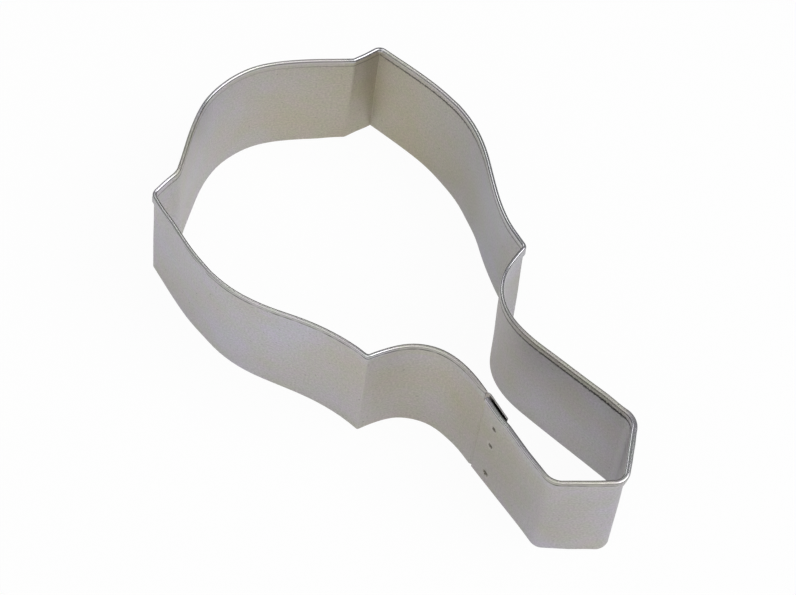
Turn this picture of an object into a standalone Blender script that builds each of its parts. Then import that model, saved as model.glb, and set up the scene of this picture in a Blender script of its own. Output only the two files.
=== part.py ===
"""Tinplate cookie cutter in the outline of a hand mirror.

One strip of thin tinplate stands on edge and is bent round to the outline. Its lower edge is the
plain cutting edge. Its upper edge is rolled outward into a rim that is kind to the palm. The two
ends of the strip lap on the left side of the handle, where three spot welds hold them together.

Metres, +Z up. The cutting edge lies in z = 0, +Y runs from the handle to the head of the mirror
and X runs across it. The origin is under the middle of the outline.
"""

import math
from collections import namedtuple

import bmesh
import bpy
from mathutils import Matrix, Vector
from mathutils.geometry import interpolate_bezier

MM = 0.001

# The strip
GAUGE = 0.3 * MM
DEPTH = 25.4 * MM

# The rolled rim in section. Drops are measured down from the top of the rim.
ROLL_RADIUS = 0.25 * MM
ROLL_BULGE = 0.08 * MM
CREASE_DROP = 1.6 * MM
LIP_DROP = 2.6 * MM
LIP_GAP = 0.06 * MM
ROLL_START_ANGLE = math.radians(180)
ROLL_END_ANGLE = math.radians(-25)
ROLL_STEPS = 7

# Outline of the right half at the foot. Lengths along it start from the level of the ears, or
# from the corner above.
CROWN_RISE = 10.9 * MM
CROWN_FLAT = 6.8 * MM
CROWN_EASE = 11.7 * MM
CROWN_FALL = math.radians(-35.5)
NOTCH_ACROSS = 21.05 * MM
NOTCH_RISE = 0.7 * MM
NOTCH_RADIUS = 5.0 * MM
EAR_ACROSS = 27.4 * MM
EAR_RADIUS = 1.0 * MM
EAR_FALL = math.radians(-79.3)
EAR_EASE = 12.4 * MM
WIDEST_ACROSS = 29.5 * MM
EAR_TO_WIDEST = 19.3 * MM
WIDEST_EASE_UP = 5.5 * MM
WIDEST_EASE_DOWN = 12.8 * MM
SHOULDER_ACROSS = 19.85 * MM
WIDEST_TO_SHOULDER = 32.05 * MM
SHOULDER_RADIUS = 1.6 * MM
SHOULDER_EASE = 13.9 * MM
SHOULDER_FALL = math.radians(-96.5)
NECK_START = math.radians(-170)
NECK_START_EASE = 8.1 * MM
NECK_END_EASE = 10.4 * MM
NECK_ACROSS = 7.35 * MM
SHOULDER_TO_NECK = 16.1 * MM
HEEL_ACROSS = 10.05 * MM
NECK_TO_HEEL = 22.65 * MM
HEEL_RADIUS = 3.5 * MM
HEEL_TO_TIP = 8.9 * MM
TIP_RADIUS = 2.0 * MM

# How far the rim stands outside the foot, where hand bending has left the wall off upright
CROWN_LEAN = 0.65 * MM
EAR_LEAN = 0.0 * MM
WIDEST_LEAN = 0.7 * MM
SHOULDER_LEAN = -0.95 * MM
NECK_LEAN = -0.6 * MM
HEEL_LEAN = 0.2 * MM
TIP_LEAN = -0.4 * MM

# The lapped seam, along the left wall of the handle from the end of the neck's curve
HEM_END = 1.8 * MM
JOGGLE_START = 2.0 * MM
LAP_START = 3.5 * MM
LAP_LENGTH = 5.5 * MM
LAP_GAP = 0.05 * MM
LAP_GAPE = 0.3 * MM

# The spot welds, from the start of the lap and up from the foot
WELD_RADIUS = 0.8 * MM
WELD_FIT = 0.05 * MM
WELD_RIM = 0.2 * MM
WELD_DISH = 0.08 * MM
WELD_DISH_STEPS = 2
WELD_SEGMENTS = 24
UPPER_WELD = (3.1 * MM, 18.9 * MM)
MIDDLE_WELD = (3.1 * MM, 13.1 * MM)
LOWER_WELD = (3.4 * MM, 3.3 * MM)

# The most that the outline turns from one facet to the next
FACET_TURN = math.radians(7)

SHARP_ANGLE = math.radians(40)
MERGE_DISTANCE = 0.001 * MM

Node = namedtuple("Node", "at heading ease_in ease_out lean")
Station = namedtuple("Station", "at tilt")


def clear_scene():
    for obj in list(bpy.data.objects):
        bpy.data.objects.remove(obj, do_unlink=True)


def new_collection(name, shown):
    collection = bpy.data.collections.new(name)
    collection.hide_render = not shown
    bpy.context.scene.collection.children.link(collection)
    return collection


def new_object(name, data, collection):
    obj = bpy.data.objects.new(name, data)
    collection.objects.link(obj)
    return obj


def make_helper(obj):
    """Keeps a guide or a cutter out of the finished part."""
    obj.hide_render = True
    obj.display_type = "WIRE"


def metal(name, colour, roughness):
    material = bpy.data.materials.new(name)
    material.use_nodes = True
    shader = material.node_tree.nodes["Principled BSDF"]
    shader.inputs["Base Color"].default_value = (*colour, 1.0)
    shader.inputs["Metallic"].default_value = 1.0
    shader.inputs["Roughness"].default_value = roughness
    material.diffuse_color = (*colour, 1.0)
    return material


def direction(angle):
    return Vector((math.cos(angle), math.sin(angle), 0))


def right_of(heading):
    """The level direction square to a heading, on its right hand: outward all round the strip."""
    return Vector((heading.y, -heading.x, 0))


def rounded(corner, arriving, leaving, radius, ease_in, ease_out, lean):
    """Both ends of the arc that rounds a corner. An ease of 0 marks a straight run."""
    turn = arriving.angle(leaving)
    cut = radius * math.tan(turn / 2)
    ease = radius * math.tan(turn / 4) * 4 / 3
    first = Node(corner - arriving * cut, arriving, ease_in, ease, lean)
    second = Node(corner + leaving * cut, leaving, ease, ease_out, lean)
    return [first, second]


def head_nodes():
    """Crown, notch, ear, bulging side and shoulder of the right half."""
    crown = Vector((0, CROWN_RISE, 0))
    notch = Vector((NOTCH_ACROSS, NOTCH_RISE, 0))
    ear = Vector((EAR_ACROSS, 0, 0))
    widest = Vector((WIDEST_ACROSS, -EAR_TO_WIDEST, 0))
    shoulder = Vector((SHOULDER_ACROSS, widest.y - WIDEST_TO_SHOULDER, 0))
    to_ear = (ear - notch).normalized()
    notch_lean = (CROWN_LEAN + EAR_LEAN) / 2
    return [
        Node(crown, Vector((1, 0, 0)), CROWN_FLAT, CROWN_FLAT, CROWN_LEAN),
        *rounded(notch, direction(CROWN_FALL), to_ear, NOTCH_RADIUS, CROWN_EASE, 0, notch_lean),
        *rounded(ear, to_ear, direction(EAR_FALL), EAR_RADIUS, 0, EAR_EASE, EAR_LEAN),
        Node(widest, Vector((0, -1, 0)), WIDEST_EASE_UP, WIDEST_EASE_DOWN, WIDEST_LEAN),
        *rounded(
            shoulder,
            direction(SHOULDER_FALL),
            direction(NECK_START),
            SHOULDER_RADIUS,
            SHOULDER_EASE,
            NECK_START_EASE,
            SHOULDER_LEAN,
        ),
    ]


def handle_nodes():
    """End of the neck's curve, heel and near side of the tip of the right half."""
    neck = Vector((NECK_ACROSS, -EAR_TO_WIDEST - WIDEST_TO_SHOULDER - SHOULDER_TO_NECK, 0))
    heel = Vector((HEEL_ACROSS, neck.y - NECK_TO_HEEL, 0))
    tip = Vector((0, heel.y - HEEL_TO_TIP, 0))
    to_heel = (heel - neck).normalized()
    to_tip = (tip - heel).normalized()
    from_tip = Vector((to_tip.x, -to_tip.y, 0))
    return [
        Node(neck, to_heel, NECK_END_EASE, 0, NECK_LEAN),
        *rounded(heel, to_heel, to_tip, HEEL_RADIUS, 0, 0, HEEL_LEAN),
        rounded(tip, to_tip, from_tip, TIP_RADIUS, 0, 0, TIP_LEAN)[0],
    ]


def reversed_nodes(nodes):
    """The same run travelled the other way."""
    return [Node(n.at, -n.heading, n.ease_out, n.ease_in, n.lean) for n in reversed(nodes)]


def mirrored_nodes(nodes):
    """The run on the other half of the outline, travelled the same way."""
    flip = Vector((-1, 1, 1))
    return [n._replace(at=n.at * flip, heading=n.heading * flip) for n in nodes]


def eased_straights(nodes):
    """Spaces each straight run evenly, with handles a third as long as the run."""
    nodes = list(nodes)
    for i in range(len(nodes) - 1):
        first, second = nodes[i], nodes[i + 1]
        if first.ease_out == 0 and second.ease_in == 0:
            third = (second.at - first.at).length / 3
            nodes[i] = first._replace(ease_out=third)
            nodes[i + 1] = second._replace(ease_in=third)
    return nodes


def on_left_wall(along, inward=0.0, gape=0.0):
    """A node on the straight left wall of the handle, which may stand inside it or lean off it."""
    neck, heel = mirrored_nodes(handle_nodes()[:2])
    share = along / (heel.at - neck.at).length
    at = neck.at.lerp(heel.at, share) - right_of(neck.heading) * inward
    lean = neck.lean + (heel.lean - neck.lean) * share
    return Node(at, neck.heading, 0, 0, lean - gape)


def hemmed_nodes():
    """The strip from the outer end of the seam all the way round to where its hem stops."""
    head, handle = head_nodes(), handle_nodes()
    to_tip = [on_left_wall(LAP_START)] + mirrored_nodes(handle[1:])
    up_right = reversed_nodes(head + handle)
    to_seam = mirrored_nodes(head[1:] + handle[:1]) + [on_left_wall(HEM_END)]
    return eased_straights(to_tip + up_right + to_seam)


def tongue_inset(height):
    """From the middle of the outer layer to the middle of the tongue, which leans off it."""
    return GAUGE + LAP_GAP + LAP_GAPE * height / DEPTH


def tongue_nodes():
    """The plain end of the strip, which steps inward and runs on behind the outer end."""
    inward = tongue_inset(0)
    step = (LAP_START - JOGGLE_START) / 2
    before = on_left_wall(JOGGLE_START)._replace(ease_out=step)
    after = on_left_wall(LAP_START, inward, LAP_GAPE)._replace(ease_in=step)
    end = on_left_wall(LAP_START + LAP_LENGTH, inward, LAP_GAPE)
    return eased_straights([on_left_wall(HEM_END), before, after, end])


def tilt_of(lean):
    return math.asin(lean / DEPTH)


def stations_between(first, second):
    """The points of one run, with the leans between those of its ends."""
    leave = first.at + first.heading * first.ease_out
    arrive = second.at - second.heading * second.ease_in
    across = arrive - leave
    turn = first.heading.angle(across) + across.angle(second.heading)
    steps = max(math.ceil(turn / FACET_TURN), 1)
    points = interpolate_bezier(first.at, leave, arrive, second.at, steps + 1)
    tilts = [tilt_of(first.lean + (second.lean - first.lean) * i / steps) for i in range(steps + 1)]
    return [Station(point, tilt) for point, tilt in zip(points, tilts)]


def stations_of(nodes):
    stations = stations_between(nodes[0], nodes[1])
    for first, second in zip(nodes[1:], nodes[2:]):
        stations += stations_between(first, second)[1:]
    return stations


def outline_middle():
    """Half way between the crown and the tip, as the rim reaches them."""
    lowest = min(station.at.y for station in stations_of(hemmed_nodes()))
    return Vector((0, (CROWN_RISE + CROWN_LEAN + lowest - TIP_LEAN) / 2, 0))


def roll_points():
    """The middle of the sheet over the top of the rim, from inside the wall to outside it."""
    centre = Vector((ROLL_RADIUS - ROLL_BULGE, DEPTH - GAUGE / 2 - ROLL_RADIUS, 0))
    sweep = ROLL_END_ANGLE - ROLL_START_ANGLE
    angles = [ROLL_START_ANGLE + sweep * i / ROLL_STEPS for i in range(ROLL_STEPS + 1)]
    return [centre + direction(angle) * ROLL_RADIUS for angle in angles]


def plain_section():
    """The wall up to where the roll sets out, x outward and y up."""
    foot = Vector((0, 0, 0))
    crease = Vector((0, DEPTH - CREASE_DROP, 0))
    return [foot, crease, roll_points()[0]]


def hemmed_section():
    """The wall, its roll and the lip that is turned down outside it."""
    lip = Vector((GAUGE + LIP_GAP, DEPTH - LIP_DROP, 0))
    return plain_section() + roll_points()[1:] + [lip]


def poly_curve(name, points, collection, tilts=None):
    data = bpy.data.curves.new(name, "CURVE")
    data.dimensions = "3D" if tilts else "2D"
    spline = data.splines.new("POLY")
    spline.points.add(len(points) - 1)
    for i, point in enumerate(points):
        spline.points[i].co = (*point, 1)
        spline.points[i].tilt = tilts[i] if tilts else 0
    obj = new_object(name, data, collection)
    make_helper(obj)
    return obj


def swept_sheet(name, nodes, section, shift, collection):
    """The open sheet that a section leaves as it travels along the nodes."""
    stations = stations_of(nodes)
    points = [station.at - shift for station in stations]
    path = poly_curve(name + "_path", points, collection, [station.tilt for station in stations])
    path.data.twist_mode = "Z_UP"
    path.data.bevel_mode = "OBJECT"
    path.data.bevel_object = poly_curve(name + "_section", section, collection)
    evaluated = path.evaluated_get(bpy.context.evaluated_depsgraph_get())
    return bpy.data.meshes.new_from_object(evaluated)


def joined_sheet(name, sheets):
    """One mesh from sheets that share an edge."""
    mesh = bpy.data.meshes.new(name)
    built = bmesh.new()
    for sheet in sheets:
        built.from_mesh(sheet)
        bpy.data.meshes.remove(sheet)
    bmesh.ops.remove_doubles(built, verts=built.verts, dist=MERGE_DISTANCE)
    bmesh.ops.recalc_face_normals(built, faces=built.faces)
    built.to_mesh(mesh)
    built.free()
    return mesh


def smooth(mesh):
    mesh.shade_smooth()
    mesh.set_sharp_from_angle(angle=SHARP_ANGLE)


def make_strip(material, shift, parts, guides):
    """The tinplate strip, with its rim and its plain tongue behind the seam."""
    hemmed = swept_sheet("hemmed", hemmed_nodes(), hemmed_section(), shift, guides)
    tongue = swept_sheet("tongue", tongue_nodes(), plain_section(), shift, guides)
    mesh = joined_sheet("cutter_strip", [hemmed, tongue])
    smooth(mesh)
    mesh.materials.append(material)
    strip = new_object("cutter_strip", mesh, parts)
    thickness = strip.modifiers.new("thickness", "SOLIDIFY")
    thickness.thickness = GAUGE
    thickness.offset = 0
    thickness.use_even_offset = True
    return strip


def weld_frame(place, shift):
    """A frame on the outer layer's middle at a weld, +Z out of the wall and +Y up it."""
    along, height = place
    node = on_left_wall(LAP_START + along)
    outward = right_of(node.heading)
    lean = Matrix.Rotation(tilt_of(node.lean), 3, node.heading)
    up = lean @ Vector((0, 0, 1))
    out = lean @ outward
    frame = Matrix((up.cross(out), up, out)).transposed().to_4x4()
    frame.translation = node.at - shift + up * height
    return frame


def weld_depth(place):
    """From the middle of the outer layer to the inner face of the tongue at a weld."""
    return tongue_inset(place[1]) + GAUGE / 2


def dish_points(face, sink):
    """The hollow that the electrode leaves in a face, from its middle out to its rim."""
    shares = [i / WELD_DISH_STEPS for i in range(WELD_DISH_STEPS + 1)]
    flat = WELD_RADIUS - WELD_RIM
    return [Vector((flat * share, 0, face + sink * (1 - share**2))) for share in shares]


def weld_section(depth):
    """Half section of a weld, from its dished outer face down its side to its dished inner face."""
    outer, inner = GAUGE / 2, -depth
    side = [Vector((WELD_RADIUS, 0, outer)), Vector((WELD_RADIUS, 0, inner))]
    return dish_points(outer, -WELD_DISH) + side + dish_points(inner, WELD_DISH)[::-1]


def make_weld(name, place, material, shift, parts):
    """A spot weld through both layers, with the dimple of the electrode in each face."""
    points = weld_section(weld_depth(place))
    mesh = bpy.data.meshes.new(name)
    mesh.from_pydata(points, [(i, i + 1) for i in range(len(points) - 1)], [])
    mesh.materials.append(material)
    weld = new_object(name, mesh, parts)
    weld.matrix_world = weld_frame(place, shift)
    turned = weld.modifiers.new("turned", "SCREW")
    turned.steps = turned.render_steps = WELD_SEGMENTS
    turned.use_merge_vertices = True
    turned.merge_threshold = MERGE_DISTANCE
    turned.use_smooth_shade = False
    return weld


def make_weld_hole(name, place, shift, cutters):
    """The cutter for a weld's hole, through the outer layer and the tongue."""
    bpy.ops.mesh.primitive_cylinder_add(
        vertices=WELD_SEGMENTS,
        radius=WELD_RADIUS + WELD_FIT,
        depth=2 * (weld_depth(place) + GAUGE),
    )
    cutter = bpy.context.object
    cutter.name = name + "_hole"
    for collection in list(cutter.users_collection):
        collection.objects.unlink(cutter)
    cutters.objects.link(cutter)
    cutter.matrix_world = weld_frame(place, shift)
    make_helper(cutter)
    return cutter


def build():
    clear_scene()
    parts = new_collection("cookie_cutter", shown=True)
    guides = new_collection("guides", shown=False)
    cutters = new_collection("weld_hole_cutters", shown=False)
    tinplate = metal("tinplate", (0.55, 0.54, 0.52), 0.4)
    weld_metal = metal("weld_metal", (0.3, 0.28, 0.26), 0.55)
    shift = outline_middle()
    strip = make_strip(tinplate, shift, parts, guides)
    places = {
        "spot_weld_upper": UPPER_WELD,
        "spot_weld_middle": MIDDLE_WELD,
        "spot_weld_lower": LOWER_WELD,
    }
    for name, place in places.items():
        make_weld(name, place, weld_metal, shift, parts)
        make_weld_hole(name, place, shift, cutters)
    holes = strip.modifiers.new("weld_holes", "BOOLEAN")
    holes.operation = "DIFFERENCE"
    holes.solver = "EXACT"
    holes.operand_type = "COLLECTION"
    holes.collection = cutters


build()
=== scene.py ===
"""The looks of a tinplate cookie cutter in the outline of a hand mirror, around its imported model.

The strip is modelled again at a fine step, with its thin rolled rim, an uneven lip and the marks
of hand bending, and the spot welds as small slanting pits. Lengths are millimetres until the
meshes are made, with +Y from the tip of the handle to the crown and +Z up. The outline is drawn
from the level of the ears, and moved to the middle of the model when its points are placed.
"""

import math
from collections import namedtuple

import bpy
import numpy as np
from mathutils import Matrix, Vector, noise
from mathutils.geometry import interpolate_bezier


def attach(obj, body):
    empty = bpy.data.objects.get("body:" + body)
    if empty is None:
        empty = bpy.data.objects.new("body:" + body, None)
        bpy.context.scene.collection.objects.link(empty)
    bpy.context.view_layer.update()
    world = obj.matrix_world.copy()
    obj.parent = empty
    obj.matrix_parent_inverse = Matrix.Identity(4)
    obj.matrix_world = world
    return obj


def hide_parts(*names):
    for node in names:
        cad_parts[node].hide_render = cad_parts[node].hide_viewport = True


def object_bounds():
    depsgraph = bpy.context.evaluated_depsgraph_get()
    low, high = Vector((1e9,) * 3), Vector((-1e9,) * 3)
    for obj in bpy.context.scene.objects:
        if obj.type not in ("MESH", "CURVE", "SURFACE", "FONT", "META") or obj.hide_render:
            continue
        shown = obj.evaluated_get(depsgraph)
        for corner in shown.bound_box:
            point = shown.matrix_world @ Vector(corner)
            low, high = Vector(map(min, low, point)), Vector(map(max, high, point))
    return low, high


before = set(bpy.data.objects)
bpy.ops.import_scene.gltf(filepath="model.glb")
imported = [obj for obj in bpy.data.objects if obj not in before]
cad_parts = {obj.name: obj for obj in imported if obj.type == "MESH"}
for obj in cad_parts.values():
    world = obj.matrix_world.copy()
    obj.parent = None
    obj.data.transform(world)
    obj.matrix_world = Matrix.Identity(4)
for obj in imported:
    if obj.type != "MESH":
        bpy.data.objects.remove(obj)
CAD_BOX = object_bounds()

MM = 0.001

# The strip
GAUGE = 0.3
DEPTH = 25.4

# The rim in section. Drops are measured down from the top of the rim, and points of the section
# that lie further out than the last value belong to its rolled side.
BEAD_RADIUS = 0.25
BEAD_BULGE = 0.08
BEAD_END_ANGLE = math.radians(-40)
CREASE_DROP = 1.6
PINCH_DROP = 0.95
LIP_DROP = 2.5
LIP_GAP = 0.06
ROLLED_SIDE_FROM = GAUGE * 0.6

# Outline of the right half at the foot. Lengths along it start from the level of the ears, or
# from the corner above.
CROWN_RISE = 10.9
CROWN_FLAT = 6.8
CROWN_EASE = 11.7
CROWN_FALL = math.radians(-35.5)
NOTCH = Vector((21.05, 0.7))
NOTCH_RADIUS = 5.0
EAR = Vector((27.4, 0))
EAR_FALL = math.radians(-79.3)
EAR_EASE = 12.4
EAR_TO_WIDEST = 19.3
WIDEST = Vector((29.5, -EAR_TO_WIDEST))
WIDEST_EASE_UP = 5.5
WIDEST_EASE_DOWN = 12.8
WIDEST_TO_SHOULDER = 32.05
SHOULDER = Vector((19.85, WIDEST.y - WIDEST_TO_SHOULDER))
SHOULDER_EASE = 13.9
SHOULDER_FALL = math.radians(-96.5)
NECK_START = math.radians(-170)
NECK_START_EASE = 8.1
NECK_END_EASE = 10.4
SHOULDER_TO_NECK = 16.1
NECK = Vector((7.35, SHOULDER.y - SHOULDER_TO_NECK))
NECK_TO_HEEL = 22.65
HEEL = Vector((10.05, NECK.y - NECK_TO_HEEL))
HEEL_RADIUS = 3.5
HEEL_TO_TIP = 8.9
TIP = Vector((0, HEEL.y - HEEL_TO_TIP))
TIP_RADIUS = 2.0
# As the hand bent them: the right notch, the rim at the ears and at the shoulders, the tip, and
# the foot of the left heel
RIGHT_NOTCH_RADIUS = 1.6
EAR_BENT_RADIUS = 1.5
SHOULDER_BENT_RADIUS = 1.8
TIP_BENT_RADIUS = 2.8
HEEL_CREASED_RADIUS = 2.6
# The wall is creased tighter than its stiff rim where it turns an ear or a shoulder, and its
# corner is drawn in by a share of what the tighter bend adds
CREASED_RADIUS = 0.25
CREASED_UP_TO = (DEPTH - CREASE_DROP) / DEPTH
CREASE_PULL = 0.5

# How far the top of the rim leans out from the foot
CROWN_LEAN = 0.65
EAR_LEAN = 0.0
WIDEST_LEAN = 0.7
SHOULDER_LEAN = -0.95
NECK_LEAN = -0.6
HEEL_LEAN = 0.2
TIP_LEAN = -0.4

# Hand bending: how far the neck and the shoulders stand to the left, how the sheet wavers, and
# how far from the seam it starts to
NECK_FOOT_SWAY = 0.37
NECK_RIM_SWAY = 0.07
SHOULDER_RIM_SWAY = 0.145
WALL_WAVE = 0.12
WALL_WAVE_LENGTH = 14.0
RIM_WAVE = 0.05
RIM_WAVE_LENGTH = 6.0
RIM_WAVE_SEED = 7
LIP_WAVE = 0.5
LIP_WAVE_LENGTH = 5.0
LIP_WAVE_SEED = 3
SEAM_CALM = 12.0
# Spots where a hand has pushed the wall: the middle, how far it reaches, which way, and how far
# it goes at the foot and at the rim
Push = namedtuple("Push", "middle reach way foot rim")
LEFT_EAR = Vector((-EAR.x, EAR.y))
PUSHES = [
    Push(Vector((5.0, -94.5)), 9.0, Vector((0.66, -0.75)), -0.1, -0.2),
    Push(Vector((1.5, -98.5)), 6.0, Vector((0.9, -0.25)), 0.0, 0.2),
    Push(Vector((10.5, -89.5)), 7.0, Vector((-1.0, 0.0)), 0.0, 0.18),
    Push(Vector((-8.0, -92.0)), 8.0, Vector((-0.66, -0.75)), 0.25, 0.0),
    Push(Vector((19.5, -51.5)), 7.0, Vector((0.95, -0.3)), -0.1, 0.27),
    Push(Vector((25.0, -38.5)), 11.0, Vector((0.98, -0.2)), 0.3, 0.0),
    Push(Vector((29.2, -25.0)), 9.0, Vector((-1.0, 0.0)), 0.22, 0.0),
    Push(NOTCH, 6.0, Vector((0.75, -0.66)), 0.0, 0.5),
    Push(NOTCH, 6.0, Vector((0.95, 0.3)), 0.25, 0.0),
    Push(Vector((-10.5, 8.6)), 10.0, Vector((-0.4, 0.92)), -0.15, 0.16),
    Push(LEFT_EAR, 8.0, Vector((-0.75, 0.66)), 0.0, 0.4),
    Push(LEFT_EAR, 8.0, Vector((0.3, 0.95)), 0.3, 0.0),
    Push(Vector((-27.5, -33.0)), 18.0, Vector((-0.98, -0.2)), 0.12, 0.0),
    Push(Vector((-12.5, -54.5)), 9.0, Vector((-0.3, -0.95)), 0.05, 0.2),
    Push(Vector((-9.0, -59.5)), 8.0, Vector((-0.8, -0.6)), 0.3, 0.0),
]
# A push is full over a third of its reach, and fades over the rest at this rate
PUSH_FADE = 1.5
# How much further out the outer side of the roll stands where it is open widest
PLUMP = 0.4
# The last stretch over which the hem is pressed flat, and what is left of its thickness
HEM_FLAT_OVER = 2.2
HEM_FLAT_TO = 0.12

# The rolled rim at spots along the strip: the spot and its side, how far past it, how rough the
# roll is, how dark the painted shade in the crease under it is, and how wide it is open
RimState = namedtuple("RimState", "spot side past rough dirt plump")
RIM_STATES = [
    RimState(HEEL, -1, -4, 0.27, 0.35, 0.0),
    RimState(HEEL, -1, 2, 0.50, 0.3, 0.2),
    RimState(TIP, -1, -3, 0.45, 0.3, 0.4),
    RimState(TIP, 1, 2, 0.22, 0.5, 0.8),
    RimState(HEEL, 1, -5, 0.22, 0.6, 1.0),
    RimState(HEEL, 1, -1, 0.20, 0.7, 0.8),
    RimState(HEEL, 1, 3, 0.50, 1.0, 0.2),
    RimState(NECK, 1, 0, 0.46, 0.7, 0.1),
    RimState(SHOULDER, 1, -7, 0.18, 0.5, 0.0),
    RimState(SHOULDER, 1, 12, 0.16, 0.5, 0.0),
    RimState(WIDEST, 1, 0, 0.30, 0.7, 0.1),
    RimState(EAR, 1, -2, 0.36, 0.6, 0.0),
    RimState(EAR, 1, 0, 0.16, 0.3, 0.0),
    RimState(NOTCH, 1, 0, 0.18, 0.4, 0.0),
    RimState(NOTCH, 1, 3, 0.36, 0.3, 0.0),
    RimState(Vector((0, CROWN_RISE)), 1, 0, 0.30, 0.2, 0.0),
    RimState(Vector((0, CROWN_RISE)), 1, 8, 0.18, 0.3, 0.0),
    RimState(NOTCH, -1, -11, 0.40, 0.5, 0.0),
    RimState(NOTCH, -1, 0, 0.44, 0.5, 0.0),
    RimState(NOTCH, -1, 3, 0.18, 0.4, 0.0),
    RimState(EAR, -1, 3, 0.30, 0.4, 0.0),
    RimState(SHOULDER, -1, -5, 0.36, 0.4, 0.1),
    RimState(SHOULDER, -1, 0, 0.20, 0.35, 0.0),
    RimState(SHOULDER, -1, 3, 0.22, 0.35, 0.0),
    RimState(SHOULDER, -1, 7, 0.40, 0.35, 0.2),
]

# The lapped seam, along the left wall of the handle from the end of the neck's curve. The tongue
# steps inward from the joggle to the lap, and has painted shade from a little way into the lap.
HEM_END = 2.0
JOGGLE_START = 2.05
LAP_START = 2.95
LAP_LENGTH = 5.5
LAP_GAP = 0.05
SLOT_SHADE_FROM = 0.9
SLOT_SHADE_ON_EDGE = 0.4
# How far the tops of the layers stand out of their wall: the outer layer from its end on, and
# the tongue from where it is behind the outer layer up to its own end
FLARE_AT = (0.0, 4.6, 7.0, 13.0)
FLARE = (0.5, 0.55, 0.3, 0.28)
TONGUE_FLARE = (0.03, 0.13)

# The spot welds: how far along the lap, how far up from the foot, and the slant and the half
# length of each pit
Weld = namedtuple("Weld", "along height slant half_length")
WELDS = {
    "spot_weld_upper": Weld(3.65, 19.15, -0.52, 0.84),
    "spot_weld_middle": Weld(3.65, 13.15, -0.5, 0.82),
    "spot_weld_lower": Weld(3.95, 3.35, -0.6, 0.96),
}
WELD_RADIUS = 0.8
WELD_CAP_RADIUS = 1.15
WELD_CAP_RISE = 0.008
WELD_CAP_CENTRE = 0.02
WELD_CAP_FADE = 8
PIT_WIDTH = 0.75
PIT_RAGGED = 0.3
PIT_RAGGED_SCALE = 3
PIT_RAGGED_SEED = 50
PIT_DEPTH = 0.12
PIT_RIM = 0.02
PIT_RIM_AT = 1.2
PIT_RIM_WIDTH = 0.3

# Steps of the fine meshes
RUN_STEPS = 22
WALL_STEPS = 14
BEAD_STEPS = 18
TURN_STEPS = 5
LIP_STEPS = 4
WELD_RINGS = 16
WELD_SEGMENTS = 40
SHARP_ANGLE = math.radians(40)

# Colours of the metal, and the dark of its painted shade and dirt
TIN_WARM = (0.545, 0.523, 0.505, 1)
TIN_COOL = (0.555, 0.541, 0.592, 1)
TIN_ROLLED = (0.56, 0.555, 0.575, 1)
TIN_HANDLED = (0.51, 0.495, 0.45, 1)
GREENISH = (0.975, 1.008, 0.955, 1)
PINKISH = (1.02, 0.988, 1.035, 1)
SHADE_AND_DIRT = (0.03, 0.028, 0.025, 1)
WELD_TIN = (0.52, 0.49, 0.45, 1)
WELD_BURN = (0.14, 0.13, 0.10, 1)

# Noises on the tin: the scale per millimetre of the strip's own map, and the spread of a noise's
# value that is stretched to the full range
NOISE_SPREAD = (0.3, 0.7)
CLOUD_SPREAD = (0.35, 0.65)
CLOUD_SCALE = 0.08
MOTTLE_SCALES_AND_DETAILS = ((0.3, 2.0), (3.0, 3.0))
GRAIN_SCALE = 2.5
GRAIN_DETAIL = 4.0
LINES_SCALE = 1.0
LINES_STRETCH = (0.12, 5, 1)

# How much darker and lighter the grain and the rolling lines make the tin, and what the grain
# adds to its roughness and its relief. The last line is the roughness of a rim that has the
# colour of rolled metal, and that of one that has the colour of handled metal.
GRAIN_SHADES = (0.85, 1.15)
LINES_SHADES = (0.98, 1.02)
GRAIN_ON_RIM = 0.1
GRAIN_ROUGHNESS = 0.02
GRAIN_BUMP = 0.25
GRAIN_BUMP_DEPTH = 0.02
WALL_ROUGHNESS = 0.45
SHINY_TO_DULL = (0.2, 0.42)

# How far the burnish and the plain colour of the rim reach past it, and how steeply they start
BURNISH_PAST = 0.5
BURNISH_EDGE = 3.0
RIM_PAST = 0.2
RIM_EDGE = 8.0

# The painted shade in the pinch and under the lip comes in patches along the folds
PATCH_SCALE = 0.9
PATCH_STRETCH = (0.5, 1, 1)
PATCH_SPREAD = (0.35, 0.6)
PATCH_LEAST = 0.25

# Painted shade in the crease: a ragged band from thin to wide, a little below the crease's own line
CREASE_SHADE_SCALE = 3.5
CREASE_SHADE_STRETCH = (0.7, 0.5, 1)
CREASE_SHADE_THIN = 0.12
CREASE_SHADE_WIDE = 0.95
CREASE_SHADE_DROP = 0.15
CREASE_SHADE = 1.5

# Other painted shade, in the pinch, under the lip and down the corners of the ears: the reach of
# its line and how strong it is; then how dark the painted shade in the slot of the seam is, and
# the dirt specks
PINCH_SHADE = (0.22, 0.8)
UNDER_LIP_SHADOW = (0.3, 0.7)
CORNER_SHADE = (0.3, 0.45)
SLOT_SHADE_DARKNESS = 0.95
SPECK_SCALE = 1.6
SPECK_SPREAD = (0.70, 0.76)
SPECK_DIRT = 0.5

# The painted shadow just below the lip in the strip's own map, where the hidden face counts down
# from -1
LIP_SHADOW_DROP = 0.15
UNDER_LIP = -1 - (DEPTH - LIP_DROP - LIP_SHADOW_DROP)

# The metal of the welds: its grain, with the scale per metre, how ragged the edge of the burn is
# and where it is full, and the roughness
WELD_GRAIN_SCALE = 2500.0
WELD_GRAIN_DETAIL = 3.0
BURN_RAGGED = (-0.5, 0.3)
BURN_FULL_FROM = 0.6
WELD_ROUGHNESS = (0.38, 0.5)

# Spots of painted shade, warmer where the walls light one another: the place in the model in
# metres, how far each reaches, and what it leaves of the colour
PAINTED_SHADE_SPOTS = [
    ((0.029, 0.045, 0.012), 0.038, (0.93, 0.89, 0.70, 1)),
    ((0.030, 0.008, 0.012), 0.030, (0.84, 0.85, 0.83, 1)),
    ((-0.010, -0.014, 0.010), 0.026, (0.93, 0.90, 0.78, 1)),
    ((-0.009, -0.036, 0.012), 0.019, (0.87, 0.86, 0.78, 1)),
    ((-0.004, -0.052, 0.012), 0.020, (0.93, 0.92, 0.90, 1)),
]

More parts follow.
